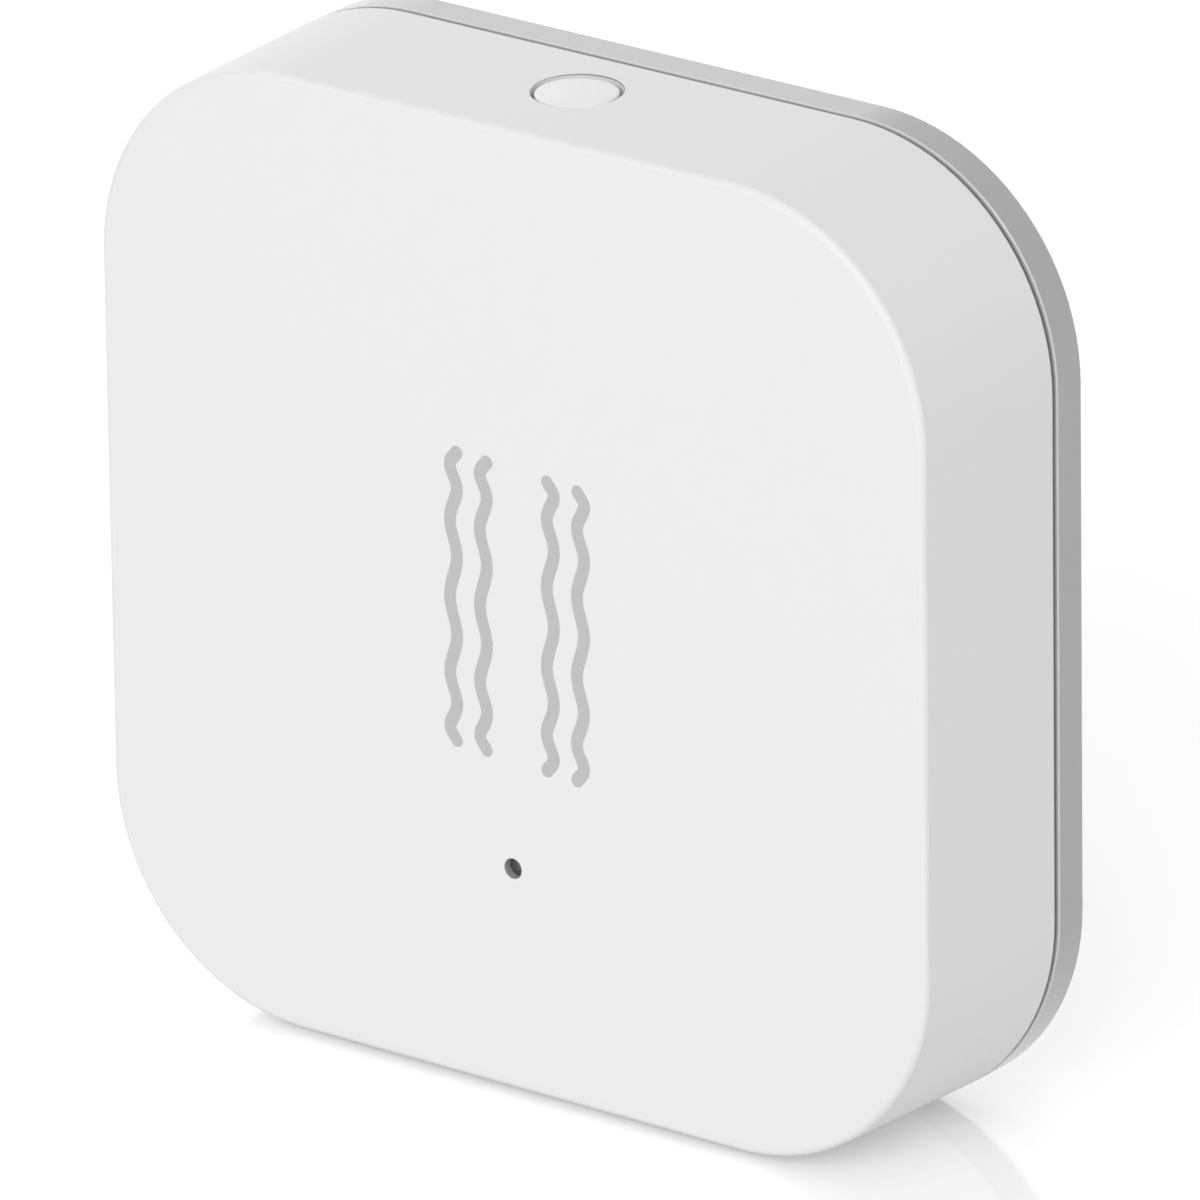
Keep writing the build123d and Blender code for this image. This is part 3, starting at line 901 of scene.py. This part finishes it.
class TAG_OT_electronics(Operator):
    """Finish the board, its parts, the coin cell and the switch inside"""

    bl_idname = "tag.electronics"
    bl_label = "Finish Electronics"

    def execute(self, context):
        finish = context.scene.tag_finish
        resin = moulded_plastic("black_chip_resin", (0.02, 0.02, 0.022), 0.6, tint=0.2, grain=0.06 * MM)
        cans = worked_metal("crystal_can_metal", (0.72, 0.71, 0.69), 0.34)
        spring = worked_metal("spring_contact_metal", SPRING_METAL, 0.24)
        holder = moulded_plastic("black_holder_plastic", (0.025, 0.025, 0.028), 0.5, tint=0.15)
        amber = moulded_plastic("amber_capacitor_resin", (0.62, 0.3, 0.04), 0.4, tint=0.15)
        tan = moulded_plastic("tan_capacitor_ceramic", (0.36, 0.24, 0.14), 0.5, tint=0.2)
        dark = moulded_plastic("dark_resistor_ceramic", (0.03, 0.03, 0.035), 0.4, tint=0.2)
        steel = worked_metal("coin_cell_steel", (0.74, 0.74, 0.73), 0.22, streaks=5000.0)
        for material, nodes in (
            (lacquered_board("green_board_lacquer"), ("circuit_board",)),
            (resin, ("radio_chip", "motion_chip")),
            (cans, ("main_crystal", "clock_crystal")),
            (spring, ("plus_contact", "minus_contact", "switch_frame", "switch_terminals")),
            (holder, ("battery_holder", "switch_housing")),
            (moulded_plastic("plunger_plastic", (0.72, 0.72, 0.7), 0.45), ("switch_plunger",)),
            (amber, ("reservoir_capacitor",)),
            (tan, ("chip_capacitors",)),
            (dark, ("chip_resistors",)),
            (moulded_plastic("lamp_resin", (0.8, 0.78, 0.62), 0.2, tint=0.08), ("status_lamp",)),
            (worked_metal("aerial_copper", finish.copper_colour, 0.3), ("aerial",)),
            (steel, ("coin_cell",)),
        ):
            for node in nodes:
                dress(node, material)
        return {"FINISHED"}


class TAG_OT_snap_dome(Operator):
    """Make the switch's snap dome as a piece of its own, with its own copy of the CAD mesh"""

    bl_idname = "tag.snap_dome"
    bl_label = "Make Snap Dome"

    def execute(self, context):
        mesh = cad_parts["switch_dome"].data.copy()
        mesh.materials.clear()
        steel = worked_metal("snap_dome_steel", SPRING_METAL, 0.24)
        dome = new_piece("snap_dome", mesh, steel, "housing")
        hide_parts("switch_dome")
        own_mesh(dome)
        return {"FINISHED"}


class TAG_OT_wave_print(Operator):
    """Print the four wavy lines on the front"""

    bl_idname = "tag.wave_print"
    bl_label = "Print Wave Lines"

    def execute(self, context):
        finish, waves = context.scene.tag_finish, context.scene.tag_waves
        ink = moulded_plastic("grey_print_ink", finish.print_colour, 0.5, tint=0.04)
        number = 0
        for side in (-1, 1):
            for step in (-1, 1):
                number += 1
                name = f"wave_line_{number}"
                x = waves.middle_x + side * waves.pair_gap / 2 + step * waves.pitch / 2
                middle = Vector((x, 0, waves.middle_z - waves.slope * x))
                new_piece(name, wave_mesh(waves, side, middle, name), ink, "housing")
        return {"FINISHED"}


class TAG_OT_foam_pad(Operator):
    """Make the die-cut foam pad on the back"""

    bl_idname = "tag.foam_pad"
    bl_label = "Make Foam Pad"

    def execute(self, context):
        finish = context.scene.tag_finish
        foam = cut_foam("pad_foam", finish.pad_colour, finish.foam_cell)
        mesh = pad_mesh(context.scene.tag_pad, "foam_pad")
        pad = new_piece("foam_pad", mesh, foam, "housing")
        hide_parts("adhesive_pad")
        return {"FINISHED"}


class TAG_OT_board_screws(Operator):
    """Make the two threaded screws that hold the board"""

    bl_idname = "tag.board_screws"
    bl_label = "Make Board Screws"

    def execute(self, context):
        screw = context.scene.tag_screw
        steel = worked_metal("screw_steel", (0.6, 0.6, 0.6), 0.3)
        for number, side in enumerate((1, -1), start=1):
            name = f"board_screw_{number}"
            middle = Vector((side * screw.place_x, 0, MIDDLE_Z + side * screw.place_z))
            piece = new_piece(name, screw_mesh(screw, middle, name), steel, "housing")
            cut_with(piece, cross_cutter(screw, middle))
        return {"FINISHED"}


class TAG_OT_stage(Operator):
    """Set the floor, lamps, world and camera"""

    bl_idname = "tag.stage"
    bl_label = "Set Stage"

    def execute(self, context):
        stage = context.scene.tag_stage
        make_floor(stage)
        make_lamps(stage)
        make_world(stage)
        make_camera(stage)
        context.scene.view_settings.view_transform = "Standard"
        return {"FINISHED"}


def seen_directly(tree):
    """1 for what the camera sees directly, by reflection or through clear plastic, else 0."""
    light = add_node(tree, "ShaderNodeLightPath").outputs
    seen = calculate(tree, "MAXIMUM", light["Is Camera Ray"], light["Is Glossy Ray"])
    return calculate(tree, "MAXIMUM", seen, light["Is Transmission Ray"])


def make_floor(stage):
    """A pale glossy floor that shows white and keeps the tag's shadow."""
    made, tree, shader = new_material("pale_floor")
    smear = soft_noise(tree, place(tree), 9.0, 3.0)
    uneven = 0.02
    connect(tree, shader.inputs, {
        "Base Color": opaque(stage.floor_colour),
        "Roughness": spread(tree, smear, stage.floor_gloss - uneven, stage.floor_gloss + uneven),
        "IOR": stage.floor_ior,
        "Emission Color": (1.0, 1.0, 1.0, 1.0),
        "Emission Strength": calculate(tree, "MULTIPLY", seen_directly(tree), stage.floor_lift),
    })
    half = stage.floor_size / 2
    corners = [(-half, -half, 0), (half, -half, 0), (half, half, 0), (-half, half, 0)]
    data = bpy.data.meshes.new("floor")
    data.from_pydata(corners, [], [(0, 1, 2, 3)])
    data.materials.append(made)
    floor = bpy.data.objects.new("floor", data)
    bpy.context.scene.collection.objects.link(floor)


def make_lamp(name, location, aim, side, power):
    """A square soft lamp that looks at one point and isn't seen itself."""
    data = bpy.data.lights.new(name, "AREA")
    data.shape = "SQUARE"
    data.size = side
    data.energy = power
    lamp = bpy.data.objects.new(name, data)
    bpy.context.scene.collection.objects.link(lamp)
    lamp.location = location
    lamp.rotation_euler = (Vector(location) - Vector(aim)).to_track_quat("Z", "Y").to_euler()
    lamp.visible_camera = False


def make_lamps(stage):
    """A large softbox in front, above and a little to the right, and two small lamps behind on the left."""
    make_lamp("softbox", (0.291, -0.845, 0.471), (0, 0, MIDDLE_Z), stage.lamp_side, stage.lamp_power)
    for name, location, share in (
        ("low_rim_lamp", (-0.14, 0.06, 0.075), 1.7),
        ("high_rim_lamp", (-0.11, 0.11, 0.1), 0.35),
    ):
        make_lamp(name, location, UPPER_LEFT, stage.rim_side, share * stage.rim_power)


def make_world(stage):
    """White where it is seen, and an even soft light elsewhere."""
    world = bpy.data.worlds.new("studio")
    bpy.context.scene.world = world
    world.use_nodes = True
    tree = world.node_tree
    sky = tree.nodes["Background"]
    sky.inputs["Color"].default_value = (1.0, 1.0, 1.0, 1.0)
    tree.links.new(spread(tree, seen_directly(tree), stage.sky, 1.0), sky.inputs["Strength"])


def make_camera(stage):
    """A long lens at the photograph's viewing angle."""
    east, north = math.sin(stage.azimuth), math.cos(stage.azimuth)
    level = math.cos(stage.elevation)
    back = Vector((east * level, -north * level, math.sin(stage.elevation)))
    right = (-back).cross(Vector((0, 0, 1))).normalized()
    up = right.cross(-back)
    tilt = Matrix.Rotation(stage.roll, 3, back)
    right, up = tilt @ right, tilt @ up
    data = bpy.data.cameras.new("camera")
    data.sensor_width = 36.0
    data.lens = stage.lens
    data.clip_start = 0.01
    data.clip_end = 50.0
    scale = stage.distance * data.sensor_width / (data.lens * PICTURE)
    aim = Vector((0, FRONT_Y + AIM_DEPTH, MIDDLE_Z))
    aside = right * (stage.picture_x - PICTURE / 2) * scale
    below = up * (stage.picture_y - PICTURE / 2) * scale
    camera = bpy.data.objects.new("camera", data)
    bpy.context.scene.collection.objects.link(camera)
    rows = Matrix((right, up, back)).transposed().to_4x4()
    camera.matrix_world = Matrix.Translation(aim + back * stage.distance - aside + below) @ rows
    bpy.context.scene.camera = camera


class TAG_PT_panel(Panel):
    """Lists the tag's operators and settings"""

    bl_idname = "TAG_PT_panel"
    bl_label = "Sensor Tag"
    bl_space_type = "VIEW_3D"
    bl_region_type = "UI"
    bl_category = "Sensor Tag"

    def draw(self, context):
        for kind in OPERATORS:
            self.layout.operator(kind.bl_idname)
        for group in SETTINGS:
            settings = getattr(context.scene, group)
            box = self.layout.box()
            for name in settings.bl_rna.properties.keys():
                if name not in ("name", "rna_type"):
                    box.prop(settings, name)


SETTINGS = {
    "tag_finish": TagFinish,
    "tag_waves": TagWaves,
    "tag_crown": TagCrown,
    "tag_pad": TagPad,
    "tag_screw": TagScrew,
    "tag_stage": TagStage,
}
OPERATORS = (
    TAG_OT_housing,
    TAG_OT_electronics,
    TAG_OT_snap_dome,
    TAG_OT_wave_print,
    TAG_OT_foam_pad,
    TAG_OT_board_screws,
    TAG_OT_stage,
)


def register():
    """Registers the settings, operators and panel."""
    for name, kind in SETTINGS.items():
        bpy.utils.register_class(kind)
        setattr(bpy.types.Scene, name, PointerProperty(type=kind))
    for kind in (*OPERATORS, TAG_PT_panel):
        bpy.utils.register_class(kind)


def unregister():
    """Removes what register added."""
    for kind in (TAG_PT_panel, *reversed(OPERATORS)):
        bpy.utils.unregister_class(kind)
    for name, kind in reversed(list(SETTINGS.items())):
        delattr(bpy.types.Scene, name)
        bpy.utils.unregister_class(kind)


def main():
    """Builds the dressed tag."""
    register()
    bpy.ops.tag.housing()
    bpy.ops.tag.electronics()
    bpy.ops.tag.snap_dome()
    bpy.ops.tag.wave_print()
    bpy.ops.tag.foam_pad()
    bpy.ops.tag.board_screws()
    bpy.ops.tag.stage()


if __name__ == "__main__":
    main()
